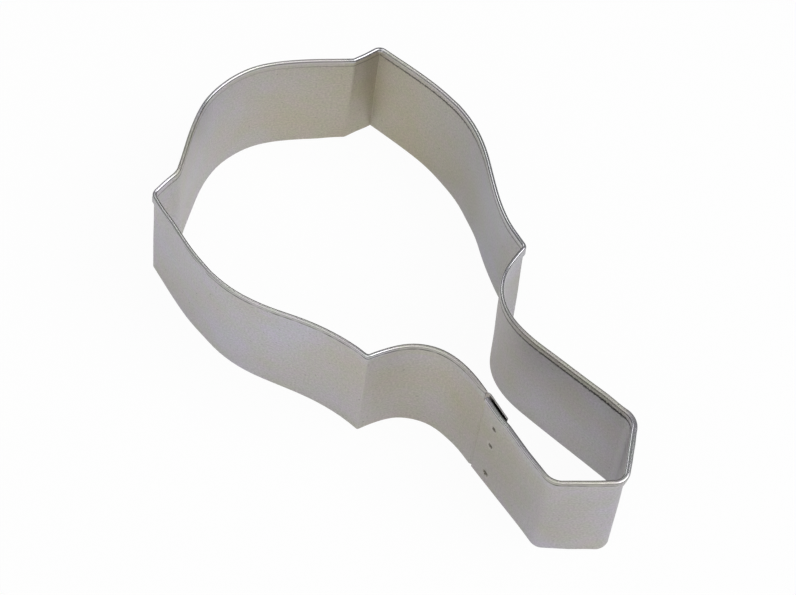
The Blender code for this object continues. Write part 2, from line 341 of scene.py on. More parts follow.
# The camera, as the perspective of the photograph gives it
CAMERA_PLACE = (-233.54, -201.27, 505.11)
CAMERA_AZIMUTH = math.radians(48.617)
CAMERA_ELEVATION = math.radians(57.795)
CAMERA_ROLL = math.radians(9.117)
CAMERA_LENS = 140.83
SENSOR_WIDTH = 36.0
CAMERA_NEAR = 0.01

# The white table and the room: how much of the paper the camera and the metal see as plain
# white, how light the room is near the table and overhead, and how much dimmer on one side
FLOOR_SIZE = 4.0
PAPER = (0.85, 0.85, 0.85, 1)
WHITE_TO_CAMERA = 0.95
WHITE_TO_METAL = 0.4
ROOM_LOW = 0.045
ROOM_HIGH = 0.34
ROOM_HIGH_FROM = 0.35
ROOM_DIM_SIDE = 0.7
ROOM_DIM_BETWEEN = (0.3, 0.75)
ROOM_COLOUR = (0.97, 0.985, 1.0, 1)

# The lamps: which way from the object, how far and how wide in metres, and how strong in watts
LAMPS = {
    "key": ((0.33, -0.42, 0.85), 0.7, 0.6, 2.5),
    "fill": ((-0.62, -0.2, 0.75), 0.8, 1.0, 2.3),
    "window": ((0.025, 0.092, 0.164), 0.19, 0.06, 0.022),
}

Node = namedtuple("Node", "at heading ease_in ease_out lean")
Marks = namedtuple("Marks", "corners crease roll pinch")


def direction(angle):
    """A heading in the plan, from its angle to +X."""
    return Vector((math.cos(angle), math.sin(angle)))


def right_of(heading):
    """Square to a heading on its right hand, which is outward all round the strip."""
    return Vector((heading.y, -heading.x))


def rounded(corner, arriving, leaving, radius, ease_in, ease_out, lean, tight=None):
    """Both ends of the arc that rounds a corner. An ease of 0 marks a straight run.

    A tight radius creases the corner, with its point drawn in, and leaves the runs beside it.
    """
    turn = arriving.angle(leaving)
    used = tight or radius
    cut = used * math.tan(turn / 2)
    spare = radius * math.tan(turn / 2) - cut
    drawn_in = (radius - used) * (1 / math.cos(turn / 2) - 1) * CREASE_PULL
    corner = corner + (leaving - arriving).normalized() * drawn_in
    ease = used * math.tan(turn / 4) * 4 / 3
    first = Node(corner - arriving * cut, arriving, ease_in and ease_in + spare, ease, lean)
    second = Node(corner + leaving * cut, leaving, ease, ease_out and ease_out + spare, lean)
    return [first, second]


def head_nodes(creased, notch_tight=None):
    """Crown, notch, ear, bulging side and shoulder of the right half."""
    to_ear = (EAR - NOTCH).normalized()
    tight = CREASED_RADIUS if creased else None
    notch_lean = (CROWN_LEAN + EAR_LEAN) / 2
    return [
        Node(Vector((0, CROWN_RISE)), Vector((1, 0)), CROWN_FLAT, CROWN_FLAT, CROWN_LEAN),
        *rounded(
            NOTCH,
            direction(CROWN_FALL),
            to_ear,
            NOTCH_RADIUS,
            CROWN_EASE,
            0,
            notch_lean,
            notch_tight,
        ),
        *rounded(EAR, to_ear, direction(EAR_FALL), EAR_BENT_RADIUS, 0, EAR_EASE, EAR_LEAN, tight),
        Node(WIDEST, Vector((0, -1)), WIDEST_EASE_UP, WIDEST_EASE_DOWN, WIDEST_LEAN),
        *rounded(
            SHOULDER,
            direction(SHOULDER_FALL),
            direction(NECK_START),
            SHOULDER_BENT_RADIUS,
            SHOULDER_EASE,
            NECK_START_EASE,
            SHOULDER_LEAN,
            tight,
        ),
    ]


def handle_nodes(heel_tight=None):
    """End of the neck's curve, heel and near side of the tip of the right half."""
    to_heel = (HEEL - NECK).normalized()
    to_tip = (TIP - HEEL).normalized()
    from_tip = Vector((to_tip.x, -to_tip.y))
    return [
        Node(NECK, to_heel, NECK_END_EASE, 0, NECK_LEAN),
        *rounded(HEEL, to_heel, to_tip, HEEL_RADIUS, 0, 0, HEEL_LEAN, heel_tight),
        rounded(TIP, to_tip, from_tip, TIP_BENT_RADIUS, 0, 0, TIP_LEAN)[0],
    ]


def reversed_nodes(nodes):
    """The same line travelled the other way."""
    return [Node(n.at, -n.heading, n.ease_out, n.ease_in, n.lean) for n in reversed(nodes)]


def mirrored_nodes(nodes):
    """The same line on the other half of the outline."""
    flip = Vector((-1, 1))
    return [n._replace(at=n.at * flip, heading=n.heading * flip) for n in nodes]


def eased_straights(nodes):
    """Spaces each straight run evenly, with handles a third as long as the run."""
    nodes = list(nodes)
    for i in range(len(nodes) - 1):
        first, second = nodes[i], nodes[i + 1]
        if first.ease_out == 0 and second.ease_in == 0:
            third = (second.at - first.at).length / 3
            nodes[i] = first._replace(ease_out=third)
            nodes[i + 1] = second._replace(ease_in=third)
    return nodes


def on_left_wall(along, inward=0.0, flare=0.0):
    """A node on the straight left wall of the handle, which may stand inside it or lean off it."""
    neck, heel = mirrored_nodes(handle_nodes()[:2])
    share = along / (heel.at - neck.at).length
    at = neck.at.lerp(heel.at, share) - right_of(neck.heading) * inward
    lean = neck.lean + (heel.lean - neck.lean) * share
    return Node(at, neck.heading, 0, 0, lean + flare)


def hemmed_nodes(creased):
    """The strip from the outer end of the seam all the way round to where its hem stops."""
    head, handle = head_nodes(creased), handle_nodes()
    left_side = handle_nodes(HEEL_CREASED_RADIUS if creased else None)
    flared = [on_left_wall(LAP_START + at, 0, flare) for at, flare in zip(FLARE_AT, FLARE)]
    to_tip = flared + mirrored_nodes(left_side[1:])
    up_right = reversed_nodes(head_nodes(creased, RIGHT_NOTCH_RADIUS) + handle)
    to_seam = mirrored_nodes(head[1:] + handle[:1]) + [on_left_wall(HEM_END)]
    return eased_straights(to_tip + up_right + to_seam)


def flare_at(along):
    """How far the outer layer leans out at the top, from the start of the lap on."""
    return float(np.interp(along, FLARE_AT, FLARE))


def tongue_inset(along, height):
    """From the middle of the outer layer to the middle of the tongue, which leans off it."""
    tongue_flare = np.interp(along, (0, LAP_LENGTH), TONGUE_FLARE)
    return GAUGE + LAP_GAP + (flare_at(along) - float(tongue_flare)) * height / DEPTH


def tongue_nodes():
    """The plain end of the strip, which steps inward and runs on behind the outer end."""
    inward = tongue_inset(0, 0)
    step = (LAP_START - JOGGLE_START) / 2
    before = on_left_wall(JOGGLE_START)._replace(ease_out=step)
    after = on_left_wall(LAP_START, inward, TONGUE_FLARE[0])._replace(ease_in=step)
    end = on_left_wall(LAP_START + LAP_LENGTH, inward, TONGUE_FLARE[1])
    return eased_straights([on_left_wall(HEM_END), before, after, end])


def run_points(first, second):
    """Points of one run and the leans there, without its last."""
    leave = first.at + first.heading * first.ease_out
    arrive = second.at - second.heading * second.ease_in
    corners = [at.to_3d() for at in (first.at, leave, arrive, second.at)]
    points = interpolate_bezier(*corners, RUN_STEPS + 1)
    leans = np.linspace(first.lean, second.lean, RUN_STEPS + 1)
    return [(p.x, p.y, lean) for p, lean in zip(points[:-1], leans)]


def outline(nodes):
    """Columns x, y and lean along the nodes."""
    rows = []
    for first, second in zip(nodes, nodes[1:]):
        rows += run_points(first, second)
    last = nodes[-1]
    rows.append((last.at.x, last.at.y, last.lean))
    return np.array(rows)


def outline_middle():
    """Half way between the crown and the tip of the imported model, as its rim reaches them."""
    half_turn = math.atan2(HEEL_TO_TIP, HEEL.x)
    lowest = TIP.y + TIP_RADIUS * (1 / math.cos(half_turn) - 1)
    return (CROWN_RISE + CROWN_LEAN + lowest - TIP_LEAN) / 2


def outward_normals(rows):
    """Unit normals on the right of the travel, from the run of the points."""
    travel = np.gradient(rows[:, :2], axis=0)
    travel /= np.linalg.norm(travel, axis=1)[:, None]
    return np.stack([travel[:, 1], -travel[:, 0]], 1)


def travelled(rows):
    """Length along a line of points up to each of them."""
    steps = np.linalg.norm(np.diff(rows[:, :2], axis=0), axis=1)
    return np.concatenate([[0], np.cumsum(steps)])


def eased(share):
    """A share from 0 to 1 that starts and ends gently."""
    return share * share * (3 - 2 * share)


def bezier_2d(start, leave, arrive, end, steps):
    """Points of a curve in the section, without its last."""
    corners = [Vector((x, z, 0)) for x, z in (start, leave, arrive, end)]
    return [(p.x, p.y) for p in interpolate_bezier(*corners, steps + 1)[:-1]]


def on_bead(angle):
    """A point of the rolled bead in the section."""
    across = BEAD_RADIUS - BEAD_BULGE + BEAD_RADIUS * math.cos(angle)
    return across, DEPTH - GAUGE / 2 - BEAD_RADIUS + BEAD_RADIUS * math.sin(angle)


def rim_parts():
    """The middle of the sheet in section: wall, swell, bead, pinch and lip."""
    crease, pinch_z = DEPTH - CREASE_DROP, DEPTH - PINCH_DROP
    start, end = on_bead(math.pi), on_bead(BEAD_END_ANGLE)
    third = (start[1] - crease) / 3
    reach = (end[1] - pinch_z) / 2
    leave = (end[0] + reach * math.sin(BEAD_END_ANGLE), end[1] - reach * math.cos(BEAD_END_ANGLE))
    lip_x = GAUGE + LIP_GAP
    before_bead = (start[0], start[1] - third)
    bead_angles = np.linspace(math.pi, BEAD_END_ANGLE, BEAD_STEPS, endpoint=False)
    return [
        [(0, crease * share) for share in np.linspace(0, 1, WALL_STEPS, endpoint=False)],
        bezier_2d((0, crease), (0, crease + third), before_bead, start, TURN_STEPS),
        [on_bead(angle) for angle in bead_angles],
        bezier_2d(end, leave, (lip_x, pinch_z + reach), (lip_x, pinch_z), TURN_STEPS),
        [(lip_x, z) for z in np.linspace(pinch_z, DEPTH - LIP_DROP, LIP_STEPS + 1)],
    ]


def two_faces(section):
    """The exposed and the hidden face of the sheet, the hidden one travelled backwards."""
    travel = np.gradient(section, axis=0)
    travel /= np.linalg.norm(travel, axis=1)[:, None]
    left = np.stack([-travel[:, 1], travel[:, 0]], 1)
    return section + left * GAUGE / 2, (section - left * GAUGE / 2)[::-1]


def creasing(height):
    """How much of the rim's rounding a corner has: none up to the crease, all at the top."""
    return eased(np.clip((height / DEPTH - CREASED_UP_TO) / (1 - CREASED_UP_TO), 0, 1))


def leaning_in(soft, height):
    """How much of the rim's rounding a corner that leans in needs, so that it doesn't fold over."""
    inward = np.clip(-soft[:, 2], 0, None)[:, None] * np.clip(height / DEPTH, 0, 1)
    return np.clip(inward / (SHOULDER_BENT_RADIUS - CREASED_RADIUS), 0, 1)


def wave(along, length, seed):
    """A smooth waver along the strip, between about -1 and 1."""
    return np.array([noise.noise(Vector((s / length, seed, 0))) for s in along])


def wandering(along, up):
    """How far the wall and the rim wander off their plan, calm near the seam."""
    places = [[Vector((s, z, 0)) / WALL_WAVE_LENGTH for z in up] for s in along]
    wall = WALL_WAVE * np.array([[noise.noise(place) for place in row] for row in places])
    wall = wall * np.sin(math.pi * np.clip(up / DEPTH, 0, 1))
    rim = RIM_WAVE * wave(along, RIM_WAVE_LENGTH, RIM_WAVE_SEED)[:, None]
    rim = rim * (up > DEPTH - CREASE_DROP)
    calm = np.clip(np.minimum(along, along.max() - along) / SEAM_CALM, 0, 1)
    return (wall + rim) * calm[:, None]


def lip_share(face):
    """How far down the lip a point of the section lies, from 0 at the pinch to 1 at its edge."""
    share = np.clip((DEPTH - PINCH_DROP - face[:, 1]) / (LIP_DROP - PINCH_DROP), 0, 1)
    return share * (face[:, 0] > ROLLED_SIDE_FROM)


def place_along(rows, along, spot, side):
    """How far along the strip it passes closest to a spot of the right or the left side."""
    away = np.linalg.norm(rows[:, :2] - np.array((spot.x * side, spot.y)), axis=1)
    return along[away.argmin()]


def rim_state(soft, along, quality):
    """One quality of the rolled rim at each station."""
    stops = [place_along(soft, along, state.spot, state.side) + state.past for state in RIM_STATES]
    return np.interp(along, stops, [getattr(state, quality) for state in RIM_STATES])


def rolled_out(face, soft, along):
    """How far out the points of the rim stand: wide where it is open, flat at its end."""
    out = np.broadcast_to(face[:, 0], (len(soft), len(face)))
    outer = np.clip((face[:, 0] + GAUGE / 2) / (GAUGE + BEAD_RADIUS), 0, 1)
    rolled = np.clip((face[:, 1] - DEPTH + LIP_DROP) / (LIP_DROP - PINCH_DROP), 0, 1)
    plump = PLUMP * rim_state(soft, along, "plump")
    out = out + plump[:, None] * (outer * rolled * (face[:, 0] > ROLLED_SIDE_FROM))
    to_end = np.clip((along.max() - along) / HEM_FLAT_OVER, 0, 1)[:, None]
    flat = HEM_FLAT_TO + (1 - HEM_FLAT_TO) * eased(to_end)
    return np.where(out > GAUGE / 2, GAUGE / 2 + (out - GAUGE / 2) * flat, out)


def swept(face, sharp, soft, along, rolled):
    """A grid of points, stations by points of a face, each leaning with its station.

    The soft outline is the rim's, and the sharp one has the corners of the wall below it.
    """
    tilt = np.arcsin(soft[:, 2] / DEPTH)[:, None]
    out = rolled_out(face, soft, along) if rolled else face[:, 0]
    out = out + wandering(along, face[:, 1]) * rolled
    lip = LIP_WAVE * wave(along, LIP_WAVE_LENGTH, LIP_WAVE_SEED)[:, None]
    up = face[:, 1] + lip * lip_share(face)
    across = out * np.cos(tilt) + up * np.sin(tilt)
    height = up * np.cos(tilt) - out * np.sin(tilt)
    blend = np.maximum(creasing(face[:, 1]), leaning_in(soft, face[:, 1]))[:, :, None]
    base = sharp[:, None, :2] * (1 - blend) + soft[:, None, :2] * blend
    plan = base + outward_normals(soft)[:, None, :] * across[:, :, None]
    return np.concatenate([plan, height[:, :, None]], 2)


def swayed(points):
    """The neck and the shoulders stand a little to the left, and pushed spots out of line."""
    y, share = points[..., 1], points[..., 2] / DEPTH
    neck = eased(np.interp(y, [HEEL.y, NECK.y, SHOULDER.y], [0, 1, 0]))
    shoulder = eased(np.interp(y, [NECK.y, SHOULDER.y, WIDEST.y], [0, 1, 0]))
    push = neck * (NECK_FOOT_SWAY * (1 - share) + NECK_RIM_SWAY * share)
    moved = points.copy()
    moved[..., 0] -= push + shoulder * SHOULDER_RIM_SWAY * share
    for spot in PUSHES:
        off = np.linalg.norm(points[..., :2] - np.array(spot.middle), axis=-1)
        fade = eased(np.clip(PUSH_FADE - PUSH_FADE * off / spot.reach, 0, 1))
        amount = fade * (spot.foot * (1 - share) + spot.rim * share)
        moved[..., :2] += amount[..., None] * np.array(spot.way)
    return moved


def placed(points, middle):
    """Points in the frame of the model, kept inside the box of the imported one."""
    moved = swayed(points)
    moved[..., 1] -= middle
    low, high = [np.array(corner) / MM for corner in CAD_BOX]
    return np.clip(moved, low, high)


def sheet_points(section, sharp, soft, along, rolled):
    """Rings of points round the sheet at each station: the exposed face, then the hidden one."""
    faces = [swept(face, sharp, soft, along, rolled) for face in two_faces(section)]
    return np.concatenate(faces, 1)


def sheet_places(section, along):
    """Where each of those points lies in the strip's own map, the hidden face below zero."""
    heights = travelled(section)
    ring = np.concatenate([heights, -1 - heights[::-1]])
    return np.stack(np.meshgrid(along, ring, indexing="ij"), 2)


def ring_quads(ring, following):
    """Quads between two closed rings of indices."""
    quads = []
    for i in range(len(ring)):
        after = (i + 1) % len(ring)
        quads.append((ring[i], ring[after], following[after], following[i]))
    return quads


def end_quads(ring):
    """Quads across the cut end of the sheet, from a ring up one face and down the other."""
    last = len(ring) - 1
    steps = range(len(ring) // 2 - 1)
    return [(ring[i], ring[i + 1], ring[last - i - 1], ring[last - i]) for i in steps]


def numbered_rings(count, around, start=0):
    """Rings of indices that follow one another."""
    return [list(range(start + i * around, start + (i + 1) * around)) for i in range(count)]


def tube_faces(rings):
    """Quads of a tube through a row of rings."""
    faces = []
    for ring, following in zip(rings, rings[1:]):
        faces += ring_quads(ring, following)
    return faces


def flipped(faces):
    """Faces that look the other way."""
    return [face[::-1] for face in faces]


def strip_mesh():
    """One closed mesh of the hemmed strip and the plain tongue that carries on from its end."""
    parts = rim_parts()
    section = np.array(sum(parts, []))
    # The plain tongue has the wall, the swell and the first point of the bead
    short = len(parts[0]) + len(parts[1]) + 1
    soft = outline(hemmed_nodes(False))
    sharp = outline(hemmed_nodes(True))
    tongue = outline(tongue_nodes())
    along = travelled(soft)
    beyond = along[-1] + travelled(tongue)
    points = sheet_points(section, sharp, soft, along, True)
    plain = sheet_points(section[:short], tongue, tongue, beyond, False)[1:]
    count, around = points.shape[:2]
    rings = numbered_rings(count, around)
    last = rings[-1]
    plain_rings = [last[:short] + last[around - short :]]
    plain_rings += numbered_rings(len(plain), 2 * short, count * around)
    faces = tube_faces(rings) + tube_faces(plain_rings) + end_quads(rings[0])
    faces += flipped(end_quads(last[short - 1 : around - short + 1]) + end_quads(plain_rings[-1]))
    places = [sheet_places(section, along), sheet_places(section[:short], beyond)[1:]]
    points = np.concatenate([points.reshape(-1, 3), plain.reshape(-1, 3)])
    places = np.concatenate([place.reshape(-1, 2) for place in places])
    plain_count = (len(beyond) - 1) * 2 * short
    states = {}
    for quality in ("rough", "dirt"):
        values = np.repeat(rim_state(soft, along, quality), around)
        states[quality] = np.concatenate([values, np.full(plain_count, values[-1])])
    slot_shade = [slot_shade_outside(along, around, short), slot_shade_inside(beyond, short)]
    states["slot_shade"] = np.concatenate(slot_shade)
    return points, faces, places, states, marks_of(parts, section, sharp, along)


def slot_shade_outside(along, around, short):
    """Painted shade in the slot: 1 on the inner side of the outer layer, where the tongue lies
    behind it.
    """
    slot_shade = np.zeros((len(along), around))
    slot_shade[(along > 0) & (along < LAP_LENGTH), : short - 2] = 1
    return slot_shade.ravel()


def slot_shade_inside(beyond, short):
    """Painted shade in the slot: 1 on the tongue's side facing the outer layer, less on the far
    side of its top.
    """
    slot_shade = np.zeros((len(beyond) - 1, 2 * short))
    behind = beyond[1:] - beyond[0] > SLOT_SHADE_FROM
    slot_shade[behind, short - 1] = SLOT_SHADE_ON_EDGE
    slot_shade[behind, short + 1 :] = 1
    return slot_shade.ravel()


def marks_of(parts, section, sharp, along):
    """Where the corners of the ears and the lines of the rim lie in the strip's own map."""
    corners = [place_along(sharp, along, EAR, side) for side in (-1, 1)]
    heights = travelled(section)
    crease, roll = heights[len(parts[0])], heights[len(parts[0]) + len(parts[1])]
    pinch = heights[sum(len(part) for part in parts[:4]) - 1]
    return Marks(corners, crease, roll, pinch)


def new_mesh_object(name, points, faces):
    """An object in metres from points in millimetres."""
    mesh = bpy.data.meshes.new(name)
    mesh.from_pydata([Vector(p) * MM for p in points], [], faces)
    obj = bpy.data.objects.new(name, mesh)
    bpy.context.scene.collection.objects.link(obj)
    return obj


def lay_out(mesh, places):
    """A UV map in millimetres along the strip and up its section."""
    layer = mesh.uv_layers.new(name="strip")
    corners = np.zeros(len(mesh.loops), int)
    mesh.loops.foreach_get("vertex_index", corners)
    layer.uv.foreach_set("vector", places[corners].ravel())


def add_attribute(mesh, name, values):
    mesh.attributes.new(name, "FLOAT", "POINT").data.foreach_set("value", values)


def outer_layer(along, height):
    """A point of the outer layer's middle, from the start of the lap and up from the foot."""
    node = on_left_wall(LAP_START + along, 0, flare_at(along))
    tilt = math.asin(node.lean / DEPTH)
    plan = node.at + right_of(node.heading) * math.sin(tilt) * height
    return Vector(swayed(np.array([plan.x, plan.y, math.cos(tilt) * height])))


def weld_frame(along, height, middle):
    """A frame at a weld: x along the strip, y up it and z out of the wall."""
    at = outer_layer(along, height)
    ahead = (outer_layer(along + 1, height) - at).normalized()
    up = (outer_layer(along, height + 1) - at).normalized()
    turned = Matrix((ahead, up, ahead.cross(up))).transposed().to_4x4()
    turned.translation = at - Vector((0, middle, 0))
    return turned


def circle(radius, height):
    """A ring of points round the axis of a weld."""
    angles = [math.tau * i / WELD_SEGMENTS for i in range(WELD_SEGMENTS)]
    return [Vector((radius * math.cos(a), radius * math.sin(a), height)) for a in angles]


def lathe_faces(ring_count):
    """Faces of a stack of rings, closed at both ends."""
    rings = numbered_rings(ring_count, WELD_SEGMENTS)
    return flipped(tube_faces(rings)) + [tuple(rings[0]), tuple(reversed(rings[-1]))]


def pit_share(point, weld):
    """How deep in the slanting pit a point lies, and how high on its thrown-up rim."""
    turned = Vector((point.x, point.y)) @ Matrix.Rotation(weld.slant, 2)
    seed = Vector((weld.half_length * PIT_RAGGED_SEED, 0, 0))
    ragged = PIT_RAGGED * noise.noise(point * PIT_RAGGED_SCALE + seed)
    far = math.hypot(turned.x / weld.half_length, (turned.y + ragged) / PIT_WIDTH)
    return max(0.0, 1 - far * far), math.exp(-(((far - PIT_RIM_AT) / PIT_RIM_WIDTH) ** 2))


def weld_points(weld):
    """Rings of a weld, from the middle of its outer face over its cap and down its side.

    It also says how deep in the pit each point lies.
    """
    face = GAUGE / 2 + WELD_CAP_RISE
    radii = np.linspace(WELD_CAP_CENTRE, 1, WELD_RINGS) * WELD_CAP_RADIUS
    points, burns = [], []
    for radius in radii:
        for point in circle(radius, face):
            pit, rim = pit_share(point, weld)
            fade = 1 - eased(min(radius / WELD_CAP_RADIUS, 1.0)) ** WELD_CAP_FADE
            points.append(point + Vector((0, 0, (PIT_RIM * rim - PIT_DEPTH * pit) * fade)))
            burns.append(pit)
    below = tongue_inset(weld.along, weld.height) + GAUGE / 2
    points += circle(WELD_RADIUS, GAUGE / 2 - WELD_CAP_RISE) + circle(WELD_RADIUS, -below)
    return points, burns + [0.0] * (2 * WELD_SEGMENTS)


def at_weld(points, weld, middle):
    """Points of a weld's own frame in the model."""
    turned = weld_frame(weld.along, weld.height, middle)
    return [turned @ point for point in points]


def add_weld(name, middle, material):
    """One spot weld with its burnt pit."""
    points, burns = weld_points(WELDS[name])
    points = at_weld(points, WELDS[name], middle)
    weld = new_mesh_object(name + "_pit", points, lathe_faces(WELD_RINGS + 2))
    add_attribute(weld.data, "burn", burns)
    weld.data.shade_smooth()
    weld.data.set_sharp_from_angle(angle=SHARP_ANGLE)
    weld.data.materials.append(material)
    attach(weld, "root")
    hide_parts(name)


def drilled(strip, middle):
    """The strip's mesh with a hole through both layers at each weld."""
    for name, weld in WELDS.items():
        below = tongue_inset(weld.along, weld.height) + GAUGE
        points = circle(WELD_RADIUS, GAUGE) + circle(WELD_RADIUS, -below)
        drill = new_mesh_object(name + "_drill", at_weld(points, weld, middle), lathe_faces(2))
        hole = strip.modifiers.new(name, "BOOLEAN")
        hole.object = drill
        hole.solver = "EXACT"
    evaluated = strip.evaluated_get(bpy.context.evaluated_depsgraph_get())
    mesh = bpy.data.meshes.new_from_object(evaluated)
    for hole in list(strip.modifiers):
        bpy.data.objects.remove(hole.object)
        strip.modifiers.remove(hole)
    return mesh


def add_strip(middle):
    """The tinplate strip, drilled for the welds."""
    points, faces, places, states, marks = strip_mesh()
    strip = new_mesh_object("tinplate_strip", placed(points, middle), faces)
    lay_out(strip.data, places)
    for quality, values in states.items():
        add_attribute(strip.data, quality, values)
    strip.data = drilled(strip, middle)
    strip.data.shade_smooth()
    strip.data.set_sharp_from_angle(angle=SHARP_ANGLE)
    strip.data.materials.append(tinplate(marks))
    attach(strip, "root")
    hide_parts("cutter_strip")


def new_node(tree, kind, inputs=None, **settings):
    """A node with its settings and inputs. An input that is a socket is linked."""
    made = tree.nodes.new(kind)
    for key, value in settings.items():
        setattr(made, key, value)
    for key, value in (inputs or {}).items():
        if isinstance(value, bpy.types.NodeSocket):
            tree.links.new(value, made.inputs[key])
        else:
            made.inputs[key].default_value = value
    return made


def noise_of(tree, vector, scale, stretch=(1, 1, 1), detail=2.0):
    """The value of a noise, with its coordinates stretched first."""
    moved = new_node(tree, "ShaderNodeMapping", {"Vector": vector, "Scale": stretch})
    inputs = {"Vector": moved.outputs[0], "Scale": scale, "Detail": detail}
    return new_node(tree, "ShaderNodeTexNoise", inputs).outputs["Fac"]


def mapped(tree, value, low, high, to_low=0.0, to_high=1.0):
    """A value stretched from one range to another and held inside it."""
    inputs = {"Value": value, "From Min": low, "From Max": high}
    inputs.update({"To Min": to_low, "To Max": to_high})
    return new_node(tree, "ShaderNodeMapRange", inputs).outputs[0]


def calculated(tree, operation, first, second):
    """The result of an operation on two values."""
    return new_node(tree, "ShaderNodeMath", {0: first, 1: second}, operation=operation).outputs[0]


def product(tree, first, second):
    return calculated(tree, "MULTIPLY", first, second)


def mixed(tree, share, first, second, blend="MIX"):
    """Two colours mixed. The node keeps its colours at inputs 6 and 7 and at output 2."""
    inputs = {"Factor": share, 6: first, 7: second}
    return new_node(tree, "ShaderNodeMix", inputs, data_type="RGBA", blend_type=blend).outputs[2]


def band(tree, value, centre, reach, strength=1.0):
    """A soft line round one value."""
    off = calculated(tree, "SUBTRACT", value, centre)
    return mapped(tree, calculated(tree, "ABSOLUTE", off, 0.0), 0.0, reach, strength, 0.0)


def rim_share(tree, up, low, high, past, edge):
    """1 between two heights of the strip's own map, down to 0 a little past them."""
    return mapped(tree, band(tree, up, (low + high) / 2, (high - low) / 2 + past, edge), 0, 1)


def near(tree, place, reach):
    """1 at a place of the model, down to 0 at the reach."""
    here = new_node(tree, "ShaderNodeTexCoord").outputs["Object"]
    away = new_node(tree, "ShaderNodeVectorMath", {0: here, 1: place}, operation="DISTANCE")
    return mapped(tree, away.outputs["Value"], reach / 3, reach, 1.0, 0.0)


def attribute(tree, name):
    """A value that the mesh has at each point."""
    return new_node(tree, "ShaderNodeAttribute", attribute_name=name).outputs["Fac"]


def tin_colour(tree, strip, rim, burnish):
    """Dull tin in warm and cool clouds, warm spots of painted shade, and a plainer colour on its
    rim.
    """
    cloud = noise_of(tree, strip, CLOUD_SCALE)
    colour = mixed(tree, mapped(tree, cloud, *CLOUD_SPREAD), TIN_WARM, TIN_COOL)
    # Spots of painted shade, warmer where the walls light one another
    for place, reach, left in PAINTED_SHADE_SPOTS:
        colour = mixed(tree, near(tree, place, reach), colour, left, "MULTIPLY")
    shine = mapped(tree, attribute(tree, "rough"), *SHINY_TO_DULL, 1, 0)
    dulled = product(tree, rim, mapped(tree, shine, 0, 1, 1, 0))
    colour = mixed(tree, dulled, colour, TIN_HANDLED)
    colour = mixed(tree, product(tree, burnish, shine), colour, TIN_ROLLED)
    for scale, detail in MOTTLE_SCALES_AND_DETAILS:
        mottle = mapped(tree, noise_of(tree, strip, scale, detail=detail), *CLOUD_SPREAD)
        colour = mixed(tree, 1.0, colour, mixed(tree, mottle, GREENISH, PINKISH), "MULTIPLY")
    return colour


def shade_and_dirt_share(tree, strip, marks):
    """Painted shade in the folds, corners and seam slot, a painted shadow under the lip, and
    specks.
    """
    parts = new_node(tree, "ShaderNodeSeparateXYZ", {0: strip})
    along, up = parts.outputs["X"], parts.outputs["Y"]
    cloud = noise_of(tree, strip, PATCH_SCALE, PATCH_STRETCH)
    patches = mapped(tree, cloud, *PATCH_SPREAD, PATCH_LEAST, 1.0)
    # Painted shade in the crease under the bead, a ragged band as strong as the rim states give
    dirt = attribute(tree, "dirt")
    widest = product(tree, dirt, CREASE_SHADE_WIDE)
    cloud = noise_of(tree, strip, CREASE_SHADE_SCALE, CREASE_SHADE_STRETCH)
    ragged = mapped(tree, cloud, *NOISE_SPREAD, CREASE_SHADE_THIN, widest)
    crease = band(tree, up, marks.crease - CREASE_SHADE_DROP, ragged, CREASE_SHADE)
    crease = product(tree, crease, dirt)
    # Painted shade in the pinch, and a painted shadow just below the lip, both in patches
    pinch = product(tree, band(tree, up, marks.pinch, *PINCH_SHADE), patches)
    under_lip = product(tree, band(tree, up, UNDER_LIP, *UNDER_LIP_SHADOW), patches)
    share = calculated(tree, "MAXIMUM", calculated(tree, "MAXIMUM", crease, pinch), under_lip)
    # Painted shade down the corners of the ears
    for corner in marks.corners:
        share = calculated(tree, "MAXIMUM", share, band(tree, along, corner, *CORNER_SHADE))
    specks = mapped(tree, noise_of(tree, strip, SPECK_SCALE), *SPECK_SPREAD, 0.0, SPECK_DIRT)
    share = calculated(tree, "MAXIMUM", share, specks)
    # Painted shade in the slot between the layers of the seam
    return calculated(tree, "MAXIMUM", share, product(tree, attribute(tree, "slot_shade"), SLOT_SHADE_DARKNESS))


def tinplate(marks):
    """Dull tin with a burnished rim, fine rolling lines, dirt specks and painted shade in its
    folds.
    """
    material = bpy.data.materials.new("tinplate")
    material.use_nodes = True
    tree = material.node_tree
    shader = tree.nodes["Principled BSDF"]
    strip = new_node(tree, "ShaderNodeUVMap", uv_map="strip").outputs[0]
    grain = noise_of(tree, strip, GRAIN_SCALE, detail=GRAIN_DETAIL)
    lines = noise_of(tree, strip, LINES_SCALE, LINES_STRETCH)
    up = new_node(tree, "ShaderNodeSeparateXYZ", {0: strip}).outputs["Y"]
    burnish = rim_share(tree, up, marks.roll, marks.pinch, BURNISH_PAST, BURNISH_EDGE)
    rim = rim_share(tree, up, marks.crease, marks.pinch, RIM_PAST, RIM_EDGE)
    left_on_rim = mapped(tree, burnish, 0, 1, 1, GRAIN_ON_RIM)
    uneven = product(tree, mapped(tree, grain, *NOISE_SPREAD, -1, 1), left_on_rim)
    line_shade = mapped(tree, lines, *NOISE_SPREAD, *LINES_SHADES)
    shade = product(tree, mapped(tree, uneven, -1, 1, *GRAIN_SHADES), line_shade)
    colour = mixed(tree, 1.0, tin_colour(tree, strip, rim, burnish), shade, "MULTIPLY")
    # The painted shade and the dirt specks darken the tin towards one dark colour
    colour = mixed(tree, shade_and_dirt_share(tree, strip, marks), colour, SHADE_AND_DIRT)
    tree.links.new(colour, shader.inputs["Base Color"])
    shader.inputs["Metallic"].default_value = 1
    rough = mapped(tree, burnish, 0, 1, WALL_ROUGHNESS, attribute(tree, "rough"))
    rough = calculated(tree, "ADD", rough, product(tree, uneven, GRAIN_ROUGHNESS))
    tree.links.new(rough, shader.inputs["Roughness"])
    strength = mapped(tree, burnish, 0, 1, GRAIN_BUMP, 0.0)
    inputs = {"Height": grain, "Strength": strength, "Distance": GRAIN_BUMP_DEPTH * MM}
    bump = new_node(tree, "ShaderNodeBump", inputs)
    tree.links.new(bump.outputs[0], shader.inputs["Normal"])
    return material


